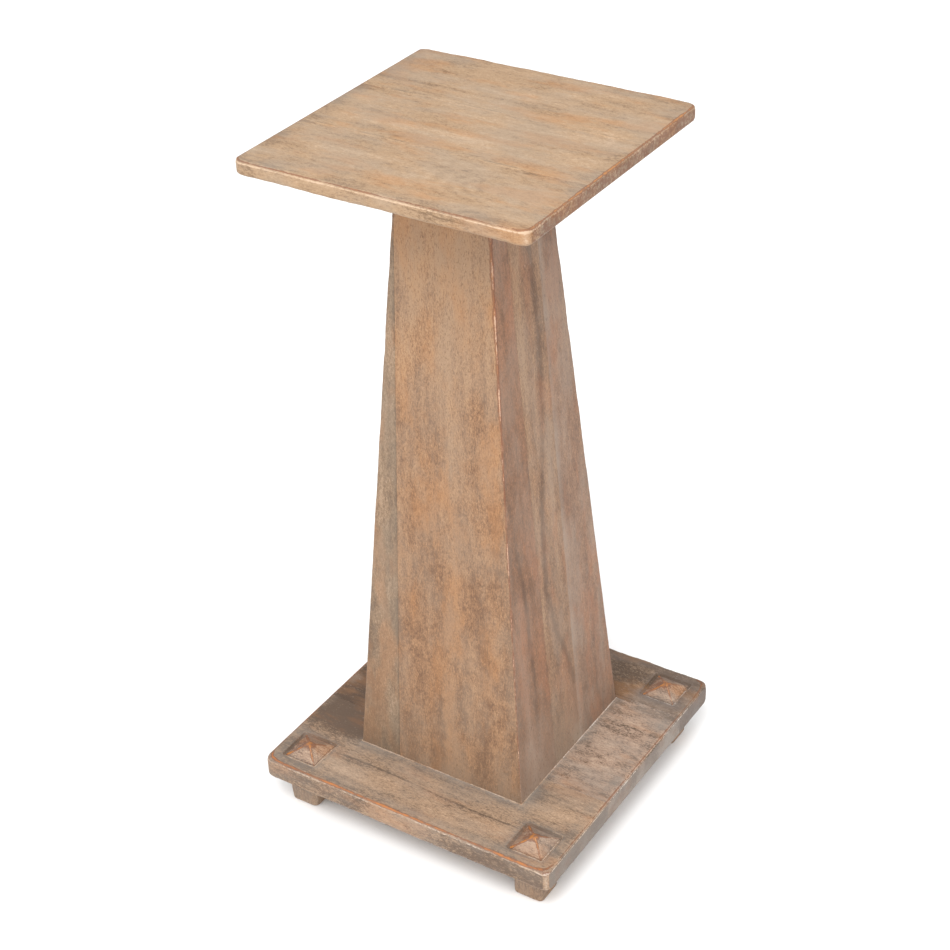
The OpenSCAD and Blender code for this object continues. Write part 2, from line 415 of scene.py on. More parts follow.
def slab_board(name, node, half, corner, ease, round_front, round_back, relief, lines, lines_across,
               seed):
    """One board of a slab, lying along X, as stations carried along it.

    At each station the section is a rectangle with four rounded arrises. Near an end it draws
    in by the end's round arris above and below, and by the slab's corner radius at an outer
    side. Outer sides and arrises wander a little, as hand-rubbed ones do, and a joint side is
    straight with a very small arris. 'relief' is added to the height of the top face.
    """
    low, high = map(np.array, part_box(node))
    station = end_grid(half, corner, lines)
    x = station[:, None]
    depth = half - abs(x)
    broad = 0.6 * ripples(x, x * 0, 0.14, 1, seed)
    fine = 0.25 * ripples(x, x * 0, 0.03, 1, seed + 1)
    wander = 0.5 * MM * (1 + broad + fine)
    front = low[1] + round_front * (inset(depth, corner) + wander)
    back = high[1] - round_back * (inset(depth, corner) + wander[::-1])
    end_ease = ease * (1 + 0 * x)
    top = high[2] - inset(depth, end_ease)
    under = low[2] + inset(depth, end_ease)
    rough = 1 + 0.22 * ripples(x, x * 0, 0.09, 1, seed + 2)
    rough = rough + 0.1 * ripples(x, x * 0, 0.012, 1, seed + 3)
    thick = top - under
    ease_front = np.minimum(ease * rough if round_front else JOINT_EASE + 0 * x, 0.49 * thick)
    ease_back = np.minimum(ease * rough[::-1] if round_back else JOINT_EASE + 0 * x, 0.49 * thick)
    inner_low = low[1] + (ease if round_front else JOINT_EASE)
    inner_high = high[1] - (ease if round_back else JOINT_EASE)
    width = inner_high - inner_low
    across = np.linspace(inner_low, inner_high, max(8, int(width / GRID_STEP)))
    inside = [line for line in lines_across if inner_low + 1 * MM < line < inner_high - 1 * MM]
    flat = (with_lines(across, np.array(inside)) - inner_low) / width
    flat[0], flat[-1] = 0, 1
    share, sideways, outward = chain(flat, 7)
    radius = ease_front * (1 - share) + ease_back * share
    y = (front + ease_front) * (1 - share) + (back - ease_back) * share + radius * sideways
    long = np.broadcast_to(x, y.shape)
    over = top - radius + radius * outward
    over = over + relief(long, y) * np.clip(depth / ease, 0, 1) * (outward > 0.999)
    below = under + radius - radius * outward
    return loft(name, np.stack([long, y, below], -1), np.stack([long, y, over], -1), 7)


def base_relief(x, y):
    """Height of the slab's top face above its plane: the recesses with their eased edges, a
    thin bead of wax round the column's foot, and the plane's faint hollows."""
    edge = from_recess(x, y)
    cut = np.clip(0.5 - edge / (2.2 * MM), 0, 1)
    cut = cut * cut * (3 - 2 * cut)
    bead = np.exp(-((from_column(x, y) - 0.9 * MM) / (0.9 * MM))**2)
    clear = np.clip(abs(from_column(x, y)) / (4 * MM), 0, 1)
    hollow = 0.18 * MM * (1 + ripples(x, y, 0.16, 0.07, 5)) * clear
    return -RECESS_DEPTH * cut - hollow * (cut == 0) + 0.45 * MM * bead


near_edge = np.array([-3.2, -1.6, -1.0, -0.5, 0.0, 0.5, 1.0, 1.6, 2.6, 4.0]) * MM
recess_lines = [sign * (STUD_AT + side * (RECESS_HALF + gap))
                for sign in (-1, 1) for side in (-1, 1) for gap in near_edge]
foot_lines = [sign * (COLUMN_HALF + gap) for sign in (-1, 1) for gap in near_edge]
arris_lines = [sign * (BASE_HALF - gap) for sign in (-1, 1) for gap in np.arange(5, 15, 1) * MM]
base_lines = recess_lines + foot_lines + arris_lines


def outline_gap(x, y, half, corner):
    """Distance inwards from a slab's rounded outline to a place: the corner radius, less the
    distance from a square that is smaller by that radius."""
    a = abs(x) - half + corner
    b = abs(y) - half + corner
    return corner - np.hypot(a.clip(0), b.clip(0)) - np.minimum(np.maximum(a, b), 0)


def edge_wear(p, half, corner, ease, top, sides, corner_inset, corner_rub, corner_pale, seed):
    """Wear round a slab's top arris: how far sanding has cut through the wash on the upper half
    of the round, and how pale the lower half is.

    Across the arris both are bell curves of the distance inwards less the distance down. Each
    side has its own reach and shares, which fade in and out along it. At the corners the rubbed
    line lies further in, with a broad faint rub outside it and a pale upright edge.
    """
    x, y = p[:, 0], p[:, 1]
    gap = outline_gap(x, y, half, corner)
    down = top - p[:, 2]
    lean = gap - down
    beside = np.hypot(gap, down) < 18 * MM
    at_corner = np.exp(-((half - np.minimum(abs(x), abs(y))) / (14 * MM))**2)
    rub = corner_rub * at_corner * np.exp(-(lean / (7 * MM))**2) * beside
    pale = corner_pale * at_corner**6 * (lean < 0.3 * ease)
    outward = {"front": (-y, x), "back": (y, x), "left": (-x, y), "right": (x, y)}
    for number, (side, (reach, rub_share, pale_share)) in enumerate(sides.items()):
        toward, along = outward[side]
        own = np.clip((toward - abs(along)) / (2 * corner) + 0.5, 0, 1) * beside
        uneven = 1 + 0.25 * ripples(along, 0, 0.07, 1, seed + number)
        uneven = uneven + 0.2 * ripples(along, 0, 0.016, 1, seed + 9 + number)
        patch = ripples(along, 0, 0.11, 1, seed + 18 + number)
        upper = np.exp(-((lean - 0.4 * ease - corner_inset * at_corner) / (reach * uneven))**2)
        lower = np.exp(-((lean + 0.4 * ease) / (0.75 * reach * uneven))**2)
        rub = rub + own * rub_share * upper * (0.85 + 0.3 * patch + 0.3 * at_corner)
        pale = pale + own * pale_share * lower * (0.85 - 0.3 * patch)
    return rub, pale


# Each side's reach of the rub, and its shares of rubbed and of pale wood.
BASE_SIDES = {
    "front": (1.7 * MM, 0.95, 0.68), "right": (1.1 * MM, 0.5, 0.85),
    "left": (1.5 * MM, 0.7, 0.7), "back": (1.4 * MM, 0.5, 0.8),
}
# How far the pooled wash and the painted shade reach out from the column's foot and from a recess.
COLUMN_POOL_AND_SHADE = 11 * MM
RECESS_POOL_AND_SHADE = 5 * MM
RECESS_FLOOR = -1.2 * MM


def base_marks(board, rings, tone, seed):
    """The base slab's wear and painted shade: rubbed arrises, dark stain where the wash pooled against
    the column and round the recesses, deepened there as painted shade, and pale wax left along those
    lines.

    Each mark is a bell curve or a falling power of e of the distance from its line. The front
    and right walls of a recess are waxed pale, which is also painted light, and its back and left
    walls are darkened as painted shade. A painted shadow of the column makes the slab darker at the
    left of the column and behind it, and takes the wash and the wax out there.
    """
    p = points_of(board)
    x, y = p[:, 0], p[:, 1]
    low = np.array([-BASE_HALF, -BASE_HALF, slab_low[2]])
    high = np.array([BASE_HALF, BASE_HALF, slab_high[2]])
    rub, pale = edge_wear(
        p, BASE_HALF, BASE_CORNER, BASE_EASE, slab_high[2], BASE_SIDES, 6 * MM, 0.34, 0.6, 401)
    patchy = ripples(x, y, 0.06, 0.06, seed)
    under = from_arrises(p, low, high, UNDER_EDGES)
    pale = np.maximum(pale, 0.4 * np.exp(-(under / (3.5 * MM))**2) * (0.6 + 0.5 * patchy))
    up = p[:, 2] > slab_high[2] - RECESS_DEPTH - 0.5 * MM
    column_gap = from_column(x, y)
    recess_gap = from_recess(x, y)
    # lit marks the front and right sides of each recess, the sides that face the lamp.
    lit = np.clip((x - np.sign(x) * STUD_AT - y + np.sign(y) * STUD_AT) / (14 * MM) + 0.5, 0, 1)
    beside_column = np.exp(-np.clip(column_gap - 2 * MM, 0, None) / COLUMN_POOL_AND_SHADE)
    beside_column = (column_gap > 1.5 * MM) * beside_column
    beside_recess = np.exp(-np.clip(recess_gap - 1.2 * MM, 0, None) / RECESS_POOL_AND_SHADE)
    beside_recess = (recess_gap > 0.6 * MM) * beside_recess
    outer = BASE_HALF - np.maximum(abs(x), abs(y))
    by_edge = np.exp(-((outer - 10 * MM) / (7 * MM))**2)
    # Painted shade: the column's shadow, darkening the slab at the left of the column and behind it.
    shade_left_of_column = (x < -COLUMN_HALF) * np.exp(-((x + COLUMN_HALF) / (80 * MM))**4)
    shade_left_of_column = shade_left_of_column * np.exp(-(np.clip(-85 * MM - y, 0, None) / (24 * MM))**2)
    shade_behind_column = (y > COLUMN_HALF) * np.exp(-((y - COLUMN_HALF) / (60 * MM))**2)
    shade_behind_column = shade_behind_column * np.exp(-(np.clip(x - 100 * MM, 0, None) / (22 * MM))**2)
    painted_shade = np.maximum(shade_left_of_column, 0.8 * shade_behind_column) * (recess_gap > 0)
    stain = np.max([0.5 * beside_column, 0.4 * beside_recess, 0.3 * by_edge * (0.7 + 0.5 * patchy)], axis=0)
    # In the painted shade the wash is taken out, so that dark brown wood shows.
    stain = stain * (1 - painted_shade) - 0.6 * painted_shade
    # Dark stain where the wash pooled by the column and the recesses, deepened as painted shade.
    darker = 0.42 * beside_column * (0.8 + 0.4 * patchy) + 0.22 * beside_recess
    # Painted shade: the back and left walls and the floor of each recess are darkened there.
    darker = darker + 0.45 * (1 - lit) * (recess_gap < RECESS_FLOOR)
    darker = darker + 0.6 * (1 - lit) * np.exp(-((recess_gap + 0.6 * MM) / (1.3 * MM))**2)
    darker = np.maximum(darker, 0.95 * painted_shade) + 0.2 * by_edge * (0.7 + 0.5 * patchy)
    side_tone = 0.22 * (abs(y) > BASE_HALF - 1 * MM) + 0.7 * (abs(x) > BASE_HALF - 1 * MM)
    foot_wax = 0.6 + 0.3 * ripples(x, y, 0.03, 0.03, 63)
    foot_wax = foot_wax * np.exp(-((column_gap - 0.7 * MM) / (0.8 * MM))**2)
    # Pale wax round the recesses and on their floors, laid on the lit sides only: wax and painted light.
    recess_wax_and_light = 0.5 * np.exp(-((recess_gap - 0.4 * MM) / (1.1 * MM))**2)
    recess_wax_and_light = recess_wax_and_light * (1 + 0.4 * ripples(x, y, 0.02, 0.02, 61)) * lit
    pale_wax_and_light = np.maximum(foot_wax, recess_wax_and_light) * (1 - painted_shade)
    pale_wax_and_light = np.maximum(pale_wax_and_light, 0.5 * lit * (recess_gap < RECESS_FLOOR))
    grey_ends = 0.55 * (abs(x) > BASE_HALF - 1.2 * MM)
    mark(board, figure=rings(x, y), tone=tone(x, y) + darker * up + side_tone, rub=rub,
         pale=np.maximum(pale, pale_wax_and_light * up), stain=np.where(up, stain, grey_ends))


base_wood = {
    "base_board_front": limed_mango(
        "limed_mango_base_front", "x", "#b69a80", "#967c64", "#5c4a3c", "#7e756c", 0.28,
        "#ab6a34", "#bdab9b", streaks=0.35, coarse=0.7, warm=0.18),
    "base_board_middle": limed_mango(
        "limed_mango_base_middle", "x", "#b59d88", "#9e8572", "#524032", "#897e74", 0.5,
        "#9d6f49", "#cbc0b6", streaks=0.36, coarse=0.85),
    "base_board_back": limed_mango(
        "limed_mango_base_back", "x", "#98826e", "#7d6855", "#524031", "#6e635c", 0.5,
        "#99693c", "#c2b7ad"),
}
crack_lines = list(-0.141 + np.arange(-5, 5.1, 0.9) * MM)
base_shape = (BASE_HALF, BASE_CORNER, BASE_EASE)
base_front = slab_board("base_front_plank", "base_board_front", *base_shape, True, False,
                        base_relief, base_lines, base_lines + crack_lines, 21)
base_middle = slab_board("base_middle_plank", "base_board_middle", *base_shape, False, False,
                         base_relief, base_lines, base_lines, 31)
base_back = slab_board("base_back_plank", "base_board_back", *base_shape, False, True,
                       base_relief, base_lines, base_lines, 41)

# The front board has a dark wavy line of grain along it, and the middle one fine ripples at its
# right end. The figure is the ring count, and the tone makes the wood darker or paler.
base_marks(base_front, lambda x, y: growth(x, y, -0.155, 0.012, -0.05, 9 * MM),
           lambda x, y: 0.42 * np.exp(-((y + 0.1415 + 0.0025 * np.sin(x / 0.045)) / (1.3 * MM))**2)
           * np.clip(8 - abs(x) / 0.016, 0, 1) + 0.1 * ripples(x, y, 0.3, 0.03, 52)
           + (y < -BASE_HALF + 1 * MM) * np.interp(x, [-0.08, 0.08], [-0.16, 0.2]), 51)
base_marks(base_middle, lambda x, y: growth(x, y, 0.03, 0.02, 0.25, 9 * MM),
           lambda x, y: 0.1 * ripples(x, y, 0.2, 0.03, 54)
           + 0.14 * np.sin(y / 0.0026 + 2.5 * ripples(x, y, 0.05, 0.04, 57)) * (x > 0.11)
           + 0.22 * np.exp(-((y - 0.116) / 0.015)**2), 53)
base_marks(base_back, lambda x, y: growth(x, y, 0.32, 0.02, 0, 9 * MM),
           lambda x, y: -0.35 * np.exp(-((y - 0.1185) / (3 * MM))**2) + 0.14 * ripples(x, y, 0.25, 0.035, 56)
           - 0.15 * (abs(x) > BASE_HALF - 1 * MM), 55)
for board, node in ((base_front, "base_board_front"), (base_middle, "base_board_middle"),
                    (base_back, "base_board_back")):
    board.data.materials.append(base_wood[node])
    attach(board, "root")
    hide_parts(node)


# ---- Studs ----
# Four square blocks of mango wood with low pyramid heads, glued into the slab's recesses.
# Sanding has cut through the grey wash on the tips and down the ridges to orange wood, and
# the wash has stayed on the faces. Painted shade darkens the back and left faces and the foot of
# each stud.

STUD_SIDE = 1 * MM
stud_wood = limed_mango(
    "limed_mango_studs", "x", "#b59b84", "#957a65", "#5a4334", "#81766c", 0.35, "#ac6f33", "#c29f82")


def stud(name, seed):
    """A block whose head is a pyramid: its height falls from the tip in proportion to the larger
    of the distances along X and Y, softened so that tip and ridges are worn round."""
    low, high = map(np.array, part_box(name))
    middle = (low + high) / 2
    half = (high[0] - low[0]) / 2
    side_top = low[2] + STUD_SIDE
    spots = np.concatenate([[-1, -0.985, -0.95], np.linspace(-0.9, 0.9, 61), [0.95, 0.985, 1]])
    u, v = np.meshgrid(spots, spots, indexing="ij")
    worn = 0.07
    larger = (abs(u)**9 + abs(v)**9 + worn**9)**(1 / 9)
    fall = np.clip((larger - worn) / (1 - worn), 0, 1.2)
    dents = 0.25 * MM * ripples(u, v, 0.7, 0.7, seed) * (1 - fall.clip(0, 1)**4)
    z = side_top + (high[2] - side_top) * (1 - fall) - 0.3 * MM - abs(dents)
    rim = np.maximum(abs(u), abs(v))
    z = np.where(rim > 0.99, side_top - 0.3 * MM, np.maximum(z, side_top - 0.3 * MM))
    x = middle[0] + half * u
    y = middle[1] + half * v
    base = np.full_like(x, low[2])
    block = loft(name + "_block", np.stack([x, y, base], -1), np.stack([x, y, z], -1), 2)
    p = points_of(block)
    a = (p[:, 0] - middle[0]) / half
    b = (p[:, 1] - middle[1]) / half
    reach = np.maximum(abs(a), abs(b))
    ridge = abs(abs(a) - abs(b)) * half
    from_tip = np.hypot(a + 0.05, b - 0.03)
    tip = np.exp(-(from_tip / 0.34)**2) * (0.8 + 0.3 * ripples(a, b, 0.4, 0.4, seed + 5))
    toward = (1.15 - 0.35 * a - 0.25 * b) * (1 - 0.35 * reach)
    width = 1.3 * MM + 2.4 * MM * np.clip(0.5 - 0.5 * a, 0, 1) * (1 - 0.4 * reach)
    lines = 0.8 * np.exp(-(ridge / width)**2) * toward * (0.8 + 0.35 * ripples(a, b, 0.8, 0.8, seed + 1))
    left_face = np.clip(4 * (-a - abs(b)), 0, 1)
    back_face = np.clip(4 * (b - abs(a)), 0, 1)
    # Painted shade: the back and left faces and the foot of each stud are darkened.
    faces = 0.15 * left_face + 0.2 * back_face + 0.25 * reach**8
    rub = np.maximum(lines * (from_tip > 0.15), 0.45 * left_face * (1 - 0.6 * reach))
    mark(block, figure=growth(p[:, 0], p[:, 1], middle[1] + 0.03, 0.01, 0, 9 * MM),
         tone=0.12 * ripples(a, b, 1.5, 0.5, seed + 2) + faces,
         rub=np.clip(np.maximum(tip, rub), 0, 1), stain=0.1 + 0.2 * back_face,
         pale=0.45 * np.exp(-(ridge / (1.2 * MM))**2) * np.clip(a - b + 0.6, 0, 1))
    block.data.materials.append(stud_wood)
    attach(block, "root")
    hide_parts(name)


for seed, corner in enumerate(("front_left", "front_right", "back_right", "back_left")):
    stud("stud_" + corner, 60 + 10 * seed)


# ---- Column ----
# A hollow box of four tapering walls, mitred and glued at the corners, with the grain upright.
# The front wall is a wide board with a wedge glued on its left, and the right wall is three
# boards. The front-right arris is rubbed through to bare wood, widest near the top.

column_low, column_high = map(np.array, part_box("column_back_panel"))
COLUMN_FOOT = column_low[2]
COLUMN_HEAD = column_high[2]
HALF_FOOT = column_high[0]
HALF_HEAD = 53.5 * MM
WALL = 20 * MM
WALL_TURNS = {"front": 0, "right": 90, "back": 180, "left": 270}


def half_width(z):
    """Half the column's side at a height: a straight line from its foot to its head."""
    rise = np.clip((z - COLUMN_FOOT) / (COLUMN_HEAD - COLUMN_FOOT), 0, 1)
    return HALF_FOOT + (HALF_HEAD - HALF_FOOT) * rise


def arris_ease(z, seed):
    """Radius of a corner of the column at a height: broader near the head, and uneven."""
    rise = (z - COLUMN_FOOT) / (COLUMN_HEAD - COLUMN_FOOT)
    broad = (1.5 + 2.6 * np.clip(rise - 0.35, 0, 1)**1.2) * MM
    uneven = 1 + 0.25 * ripples(z, 0 * z, 0.06, 1, seed)
    return broad * (uneven + 0.15 * ripples(z, 0 * z, 0.011, 1, seed + 1))


def wall_board(name, wall, left, right, seed):
    """One board of a wall, as level sections carried up the column.

    A section has its outer face on the column's side, a face WALL deep inside it, and an edge
    at left and right: None is the mitre at the wall's corner, where the outer face turns
    through 45 degrees round the shared arris, and a number is a straight joint that far from
    the wall's middle, with a very small arris.
    """
    head = COLUMN_HEAD
    if left is not None and -left > HALF_HEAD:
        share = (HALF_FOOT + left - 1.2 * MM) / (HALF_FOOT - HALF_HEAD)
        head = COLUMN_FOOT + share * (COLUMN_HEAD - COLUMN_FOOT)
    z = np.linspace(COLUMN_FOOT, head, int((head - COLUMN_FOOT) / GRID_STEP))[:, None]
    half = half_width(z)
    shared = arris_ease(z, 301)
    step = np.linspace(0, 1, 6)[:-1]
    edges = []
    for at, sign in ((left, -1), (right, 1)):
        is_mitre = at is None
        turn = (np.pi / 4 if is_mitre else np.pi / 2) * (1 - step)[None, :]
        ease = shared if is_mitre else JOINT_EASE + 0 * z
        corner = half if is_mitre else sign * at + 0 * z
        edges.append((sign * (corner - ease + ease * np.sin(turn)), ease * (1 - np.cos(turn)),
                      sign * (corner - ease), sign * (corner - WALL if is_mitre else corner)))
    (s_left, d_left, flat_left, in_left), (s_right, d_right, flat_right, in_right) = edges
    count = max(6, int(float((flat_right - flat_left).max()) / GRID_STEP))
    share = np.linspace(0, 1, count)[None, :]
    s_flat = flat_left * (1 - share) + flat_right * share
    s = np.concatenate([s_left, s_flat, s_right[:, ::-1]], axis=1)
    d = np.concatenate([d_left, 0 * s_flat, d_right[:, ::-1]], axis=1)
    rise = np.broadcast_to(z, s.shape)
    d = d + 0.12 * MM * (1 + ripples(s, rise, 0.05, 0.3, seed)) * (abs(s) < half - 6 * MM)
    inner_share = np.linspace(0, 1, s.shape[1])[None, :]
    s_in = in_left * (1 - inner_share) + in_right * inner_share
    turn = math.radians(WALL_TURNS[wall])

    def placed(side, deep):
        """Turns a place in the wall, along it and in from its face, to x, y and z."""
        out = -(half - deep)
        x = side * math.cos(turn) - out * math.sin(turn)
        y = side * math.sin(turn) + out * math.cos(turn)
        return np.stack([x, y, rise], -1)

    board = loft(name, placed(s_in, WALL + 0 * s_in), placed(s, d), 2)
    return board, math.cos(turn), math.sin(turn)


def wall_marks(board, cos_turn, sin_turn, rings, tone, stain, rub_share, seed):
    """A wall board's wear and painted shade, from its points' places along the wall and up it: the
    two corners rubbed, the wash thicker at the foot, the wood darker close to the base, and painted
    shade that darkens the wall steadily from its head to its foot."""
    p = points_of(board)
    side = p[:, 0] * cos_turn + p[:, 1] * sin_turn
    z = p[:, 2]
    half = half_width(z)
    deep = half + (-p[:, 0] * sin_turn + p[:, 1] * cos_turn)
    corner = np.hypot(half - abs(side), deep)
    rise = (z - COLUMN_FOOT) / (COLUMN_HEAD - COLUMN_FOOT)
    reach = (1.3 + 2.1 * np.clip(rise - 0.35, 0, 1)) * MM
    uneven = 1 + 0.25 * ripples(z, side * 0, 0.05, 1, seed)
    uneven = uneven + 0.2 * ripples(z, side * 0, 0.014, 1, seed + 1)
    rub = rub_share * np.exp(-(corner / (reach * uneven))**2) * (0.35 + 0.45 * np.clip(rise, 0, 1))
    foot_wash = 0.3 * np.exp(-(z - COLUMN_FOOT) / (60 * MM))
    inner = np.exp(-(corner / (0.5 * reach * uneven))**2)
    # Darker close to the base, and painted shade that darkens each wall steadily from head to foot.
    foot_and_height_shade = 0.3 * np.exp(-(z - COLUMN_FOOT) / (22 * MM)) + 0.3 * (0.48 - rise)
    mark(board, figure=rings(z, side), tone=tone(z, side) + foot_and_height_shade,
         rub=rub, pale=rub_share * (1.0 + 0.3 * ripples(z, 0, 0.08, 1, seed + 2)) * inner,
         stain=np.clip(foot_wash + stain(z, side), 0, 1))


def ridge(value, line, width):
    """A soft streak: a bell curve of this width round a line."""
    return np.exp(-((value - line) / width)**2)


def path(z, heights, places):
    """Where a streak lies across a wall at a height, in straight runs between the known places."""
    return np.interp(z, np.array(heights) * MM, np.array(places) * MM)


def streak(z, s, heights, places, width, middle, reach):
    """A soft streak along a path: a bell curve across it, times one up the wall that fades it
    out over its reach from its middle height."""
    return ridge(s, path(z, heights, places), width) * ridge(z, middle, reach)


front_wood = limed_mango(
    "limed_mango_front", "z", "#a07c5a", "#8a6546", "#614129", "#897765", 0.3, "#a5703f", "#c29e83",
    streaks=0.34, coarse=1.05)
strip_wood = limed_mango(
    "limed_mango_strip", "z", "#9a8169", "#816850", "#5d4837", "#756859", 0.35, "#9d6b42", "#bda28b")
right_wood = limed_mango(
    "limed_mango_right", "z", "#91674b", "#785338", "#573a24", "#917c6c", 0.3, "#a5663f", "#c2a189",
    streaks=0.4, warm=0.24)
right_middle_wood = limed_mango(
    "limed_mango_right_middle", "z", "#9a795a", "#815f44", "#583b24", "#948170", 0.3, "#a5663f", "#c2ac9a",
    streaks=0.35, warm=0.24)
right_back_wood = limed_mango(
    "limed_mango_right_back", "z", "#96755b", "#7c5c46", "#5b402f", "#928071", 0.4, "#a5663f",
    "#c2a189", streaks=0.4, warm=0.3)

front_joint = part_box("column_front_strip")[1][0]
right_joint_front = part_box("column_right_board_front")[1][1]
right_joint_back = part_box("column_right_board_back")[0][1]

FRONT_STREAK = ([250, 400, 620], [22, 19, 6])
RIGHT_STREAK = ([250, 400, 560], [8, 6, 19])

# For each board: its wall, its edges, its wood and slot, how far its corners are rubbed, and at
# a height z and a place s across the wall its ring count, its tone and its stain.
wall_boards = (
    ("column_front_board", "front", front_joint, None, front_wood, "column_front", 1.0,
     lambda z, s: growth(z - 0.40, s, 0.075, 0.03, -0.10, 11 * MM),
     lambda z, s: 0.26 * ridge(z, 0.65, 0.03) * ridge(s, -0.047, 0.01)
     + 0.16 * ridge(z, 0.56, 0.03) * ridge(s, 0.045, 0.014)
     - 0.22 * streak(z, s, *FRONT_STREAK, 0.007, 0.47, 0.14)
     # Painted light and shade: paler above 0.54 m and darker round 0.36 m, as light falls off down the wall.
     - 0.32 * np.clip((z - 0.54) / 0.14, 0, 1) + 0.1 * ridge(z, 0.36, 0.17)
     + 0.14 * np.sin((z - 0.35 * s) / 0.0033 + 2.5 * ripples(z, s, 0.08, 0.08, 101))
     * ridge(z, 0.37, 0.06) * ridge(s, 0.066, 0.022)
     + 0.14 * np.sin((z + 0.6 * s) / 0.0045 + 3 * ripples(z, s, 0.08, 0.06, 103))
     * ridge(z, 0.19, 0.07) * ridge(s, 0.06, 0.03) + 0.14 * ripples(z, s, 0.2, 0.035, 102),
     lambda z, s: 0.08 + 0.25 * streak(z, s, *FRONT_STREAK, 0.012, 0.47, 0.14)),
    ("column_front_strip", "front", None, front_joint, strip_wood, "column_front", 0.4,
     lambda z, s: growth(z, s, -0.2, 0.03, 0, 9 * MM),
     lambda z, s: 0.14 * ripples(z, s, 0.05, 0.05, 104) + 0.12 * ridge(s, -0.0565, 0.0015),
     lambda z, s: 0.1 + 0 * z),
    ("column_right_board_front", "right", None, right_joint_front, right_wood, "column_side", 1.0,
     lambda z, s: growth(z, s, -0.16, 0.03, 0, 10 * MM),
     lambda z, s: 0.6 * streak(z, s, [120, 200, 330, 400, 480], [-60, -58, -62, -69, -80],
                               0.0035, 0.28, 0.16)
     + 0.2 * streak(z, s, [280, 340, 420], [-44, -48, -54], 0.004, 0.36, 0.07)
     - 0.25 * ridge(s, -0.078, 0.006) * ridge(z, 0.16, 0.1) + 0.1 * ripples(z, s, 0.2, 0.03, 106)
     - 0.12 * ridge(z, 0.7, 0.05),
     lambda z, s: 0.05 + 0.25 * ridge(s, -0.078, 0.008) * ridge(z, 0.16, 0.1)
     + 0.2 * ridge(z, 0.8, 0.08) + 0.35 * ridge(z, 0.08, 0.07)),
    ("column_right_board_middle", "right", right_joint_front, right_joint_back,
     right_middle_wood, "column_side", 0,
     lambda z, s: growth(z - 0.25, s, 0.0, 0.01, 0.03, 9 * MM),
     lambda z, s: 0.6 * ridge(
         s, path(z, [160, 190, 240, 300, 400, 500, 600, 700], [19, 12, -7, -19, -12, 4, 12, 6]),
         np.interp(z, [0.16, 0.3, 0.5], [0.0025, 0.0035, 0.006]))
     - 0.45 * streak(z, s, [380, 500, 700], [-27, -24, -20], 0.004, 0.56, 0.16)
     - 0.2 * streak(z, s, *RIGHT_STREAK, 0.008, 0.42, 0.12) + 0.1 * ripples(z, s, 0.2, 0.02, 108),
     lambda z, s: 0.08 + 0.3 * streak(z, s, *RIGHT_STREAK, 0.008, 0.42, 0.12)
     + 0.32 * ridge(z, 0.08, 0.07)),
    ("column_right_board_back", "right", right_joint_back, None, right_back_wood, "column_side", 0.4,
     lambda z, s: growth(z, s, 0.19, 0.03, 0, 10 * MM),
     lambda z, s: 0.12 * ripples(z, s, 0.2, 0.03, 110) + 0.2 * ridge(z, 0.69, 0.05),
     lambda z, s: 0.1 + 0.34 * ridge(s, 0.026, 0.006)),
    ("column_back_panel", "back", None, None, right_back_wood, "column_side", 0.5,
     lambda z, s: growth(z - 0.35, s, -0.01, 0.02, 0.09, 10 * MM),
     lambda z, s: 0.14 * ripples(z, s, 0.3, 0.025, 112),
     lambda z, s: 0.15 + 0 * z),
    ("column_left_panel", "left", None, None, front_wood, "column_front", 0.5,
     lambda z, s: growth(z - 0.25, s, 0.02, 0.02, 0.08, 10 * MM),
     lambda z, s: 0.14 * ripples(z, s, 0.3, 0.025, 114),
     lambda z, s: 0.25 + 0 * z),
)
for seed, (node, wall, left, right, wood, slot, rub_share, rings, tone, stain) in enumerate(wall_boards):
    board, cos_turn, sin_turn = wall_board(node + "_plank", wall, left, right, 200 + 10 * seed)
    wall_marks(board, cos_turn, sin_turn, rings, tone, stain, rub_share, 305)
    board.data.materials.append(wood)
    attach(board, "root")
    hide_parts(node)


# ---- Top slab ----
# Three edge-glued mango boards with their grain along X, glued flat on the column's head. The
# top is the palest part, its arrises are rubbed to a warm cream, and grey wash has stayed in a
# band just inside them.

TOP_EASE = 4 * MM
TOP_CORNER = 12.5 * MM
TOP_SIDES = {
    "front": (1.3 * MM, 0.55, 1.0), "right": (1.8 * MM, 0.8, 0.5),
    "left": (1.5 * MM, 0.55, 0.55), "back": (1.5 * MM, 0.4, 0.6),
}
top_low = np.array(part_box("top_board_front")[0])
top_high = np.array(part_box("top_board_back")[1])
TOP_HALF = top_high[0]


def top_relief(x, y):
    """The top face's faint hollows, never above its plane."""
    return -0.15 * MM * (1 + ripples(x, y, 0.15, 0.06, 7))


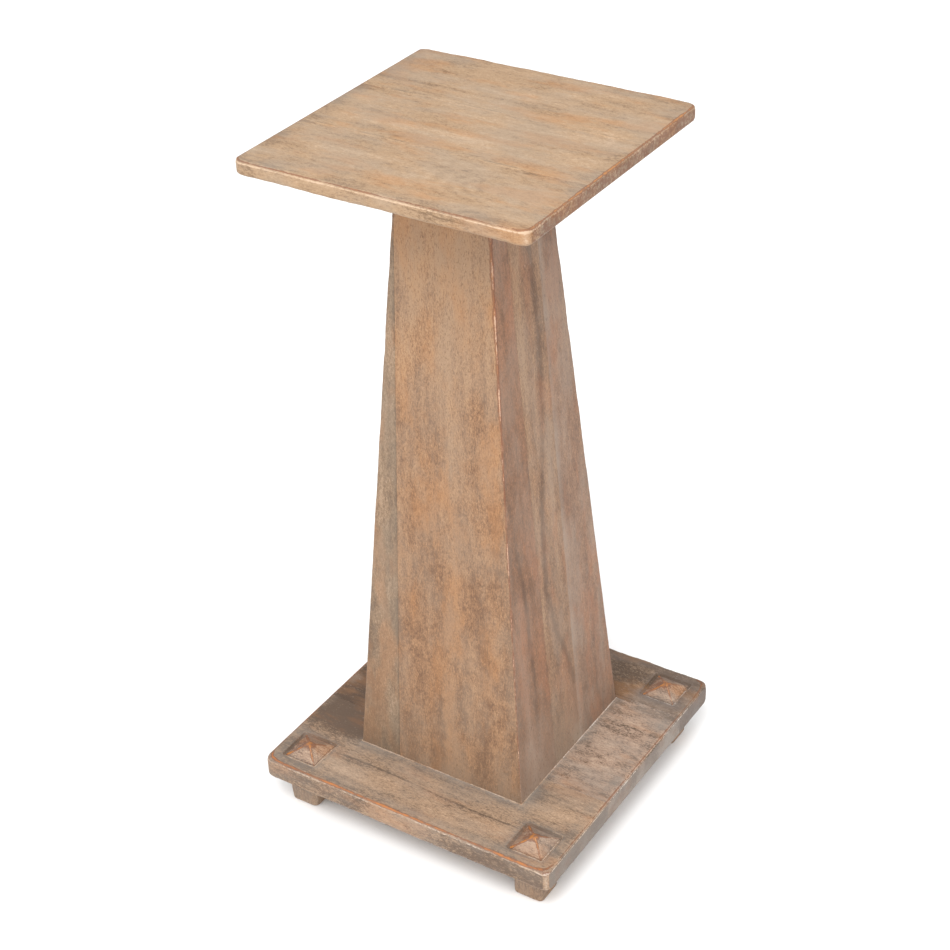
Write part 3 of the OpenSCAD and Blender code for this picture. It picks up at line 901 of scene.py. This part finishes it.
def top_marks(board, rings, tone, seed):
    """The top slab's wear: rubbed arrises, the darker band of wash inside them, and a wavy dark
    crack in the front side, each a bell curve of the distance from its line."""
    p = points_of(board)
    x, y = p[:, 0], p[:, 1]
    low = np.array([-TOP_HALF, -TOP_HALF, top_low[2]])
    high = np.array([TOP_HALF, TOP_HALF, top_high[2]])
    rub, pale = edge_wear(
        p, TOP_HALF, TOP_CORNER, TOP_EASE, top_high[2], TOP_SIDES, 0.5 * MM, 0, 0.9, 501)
    under = from_arrises(p, low, high, UNDER_EDGES)
    pale = np.maximum(pale, 0.35 * np.exp(-(under / (3 * MM))**2))
    up = p[:, 2] > top_high[2] - 1.5 * MM
    outer = TOP_HALF - np.maximum(abs(x), abs(y))
    band = np.exp(-((outer - 5 * MM) / (14 * MM))**2) * (0.65 + 0.5 * ripples(x, y, 0.09, 0.09, seed))
    band = band * (0.75 + 0.75 * np.exp(-((x + TOP_HALF) / (34 * MM))**2))
    side_tone = 0.27 * (abs(x) > TOP_HALF - 1 * MM) + 0.1 * (abs(y) > TOP_HALF - 1 * MM)
    line = top_low[2] + 10 * MM - 0.03 * (x - 0.06) + 1.1 * MM * ripples(x, 0, 0.03, 1, 541)
    cracks = ridge(p[:, 2], line, 0.5 * MM) * ridge(x, 0.07, 0.035) * (y < -TOP_HALF + 2 * MM)
    mark(board, figure=rings(x, y), tone=tone(x, y) + 0.3 * band * up + side_tone + 0.8 * cracks,
         rub=np.maximum(rub, 0.28 * (abs(x) > TOP_HALF - 1 * MM)), pale=pale,
         stain=0.22 * np.clip(band, 0, 1) * up)


top_wood = limed_mango(
    "limed_mango_top", "x", "#b2977c", "#9d8164", "#71573e", "#928678", 0.35, "#a87444", "#bda38a",
    rings=0.07, streaks=0.48, coarse=0.6)
top_shape = (TOP_HALF, TOP_CORNER, TOP_EASE)
top_front = slab_board("top_front_plank", "top_board_front", *top_shape, True, False,
                       top_relief, [], [], 71)
top_middle = slab_board("top_middle_plank", "top_board_middle", *top_shape, False, False,
                        top_relief, [], [], 81)
top_back = slab_board("top_back_plank", "top_board_back", *top_shape, False, True,
                      top_relief, [], [], 91)

# The front board's grain closes in arches near its right end, and each outer board has a thin
# dark line of grain along it.
top_marks(top_front, lambda x, y: growth(x - 0.097, y, -0.105, 0.04, 0.4, 10 * MM),
          lambda x, y: 0.08 * ripples(x, y, 0.15, 0.03, 122)
          + 0.13 * np.sin(2 * np.pi * growth(-x + 0.095, y, -0.105, 0.002, 0.55, 9 * MM)
                          + 0.8 * ripples(x, y, 0.06, 0.04, 127))
          * ridge(x, 0.055, 0.05) * ridge(y, -0.1, 0.045)
          + 0.2 * ridge(y, -0.055 + 0.002 * np.sin(x / 0.02), 0.0025)
          * np.clip(abs(x) / 0.05 - 1, 0, 1), 121)
top_marks(top_middle, lambda x, y: growth(x, y, -0.03, 0.03, 0.05, 11 * MM),
          lambda x, y: 0.08 * ripples(x, y, 0.2, 0.04, 124) - 0.08 * ridge(y, -0.02, 0.02), 123)
top_marks(top_back, lambda x, y: growth(x, y, 0.13, 0.02, -0.1, 10 * MM),
          lambda x, y: 0.1 * ripples(x, y, 0.18, 0.03, 126) + 0.24 * ridge(y, 0.081, 0.003) * (x < -0.01)
          + 0.16 * ridge(y, 0.135 - 0.2 * (x - 0.05), 0.006) * ridge(x, 0.07, 0.06), 125)
for board, node in ((top_front, "top_board_front"), (top_middle, "top_board_middle"),
                    (top_back, "top_board_back")):
    board.data.materials.append(top_wood)
    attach(board, "root")
    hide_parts(node)


# ---- Floor, light and camera ----
# A plain matt white studio floor, under one large soft lamp high at the front right and a white
# sky that is brighter on that side. The camera looks down on the stand's front-right corner.

FLOOR_HALF = 14.0
corners = [(-FLOOR_HALF, -FLOOR_HALF, 0), (FLOOR_HALF, -FLOOR_HALF, 0), (FLOOR_HALF, FLOOR_HALF, 0),
           (-FLOOR_HALF, FLOOR_HALF, 0)]
floor_mesh = bpy.data.meshes.new("studio_floor")
floor_mesh.from_pydata(corners, [], [(0, 1, 2, 3)])
floor = bpy.data.objects.new("studio_floor", floor_mesh)
bpy.context.scene.collection.objects.link(floor)

# Matt paper: an even white that shows only the soft shade under the stand.
white_paper = bpy.data.materials.new("matt_white_paper")
white_paper.use_nodes = True
white_paper.node_tree.nodes.clear()
paper = add(white_paper.node_tree, "ShaderNodeBsdfPrincipled", {
    "Base Color": linear("#f4f4f4"), "Roughness": 0.9,
})
add(white_paper.node_tree, "ShaderNodeOutputMaterial", {"Surface": paper})
floor_mesh.materials.append(white_paper)

world = bpy.data.worlds.new("pale_studio")
bpy.context.scene.world = world
world.use_nodes = True
studio = world.node_tree
studio.nodes.clear()
BRIGHT_SIDE = (0.33, -0.67, 0.66)
outward = add(studio, "ShaderNodeTexCoord", {}).outputs["Generated"]
toward = add(studio, "ShaderNodeVectorMath", (outward, BRIGHT_SIDE), operation="DOT_PRODUCT")
glow = add(studio, "ShaderNodeMapRange", (toward.outputs["Value"], -0.3, 1.0, 0.54, 1.8))
sky = add(studio, "ShaderNodeBackground", {"Color": linear("#ffffff"), "Strength": glow})
add(studio, "ShaderNodeOutputWorld", {"Surface": sky})


def direction(azimuth, elevation):
    """The way out from the stand at this turn to the right of its front and this rise: the sine
    and cosine of the turn, each times the cosine of the rise, and the sine of the rise."""
    level = math.cos(elevation)
    return np.array([math.sin(azimuth) * level, -math.cos(azimuth) * level, math.sin(elevation)])


LAMP_AZIMUTH = math.radians(22)
LAMP_ELEVATION = math.radians(54)
LAMP_DISTANCE = 3.0
softbox = bpy.data.lights.new("key_softbox", "AREA")
softbox.size = 1.3
softbox.energy = 54
lamp = bpy.data.objects.new("key_softbox", softbox)
lamp.location = np.array([0, 0, 0.4]) + LAMP_DISTANCE * direction(LAMP_AZIMUTH, LAMP_ELEVATION)
lamp.rotation_euler = (math.pi / 2 - LAMP_ELEVATION, 0, LAMP_AZIMUTH)
bpy.context.scene.collection.objects.link(lamp)

VIEW_AZIMUTH = math.radians(33.58)
VIEW_ELEVATION = math.radians(32.95)
VIEW_ROLL = math.radians(-2.17)
VIEW_DISTANCE = 2.187
VIEW_TARGET = np.array([-0.0062, -0.0041, 0.4091])
back = direction(VIEW_AZIMUTH, VIEW_ELEVATION)
right = np.array([math.cos(VIEW_AZIMUTH), math.sin(VIEW_AZIMUTH), 0])
up = np.cross(back, right)
pose = np.eye(4)
pose[:3, 0] = math.cos(VIEW_ROLL) * right + math.sin(VIEW_ROLL) * up
pose[:3, 1] = math.cos(VIEW_ROLL) * up - math.sin(VIEW_ROLL) * right
pose[:3, 2] = back
pose[:3, 3] = VIEW_TARGET + VIEW_DISTANCE * back
camera_data = bpy.data.cameras.new("studio_camera")
camera_data.sensor_width = 36
camera_data.lens = 76.6
camera = bpy.data.objects.new("studio_camera", camera_data)
bpy.context.scene.collection.objects.link(camera)
camera.matrix_world = Matrix(pose)
bpy.context.scene.camera = camera
bpy.context.scene.view_settings.view_transform = "Standard"
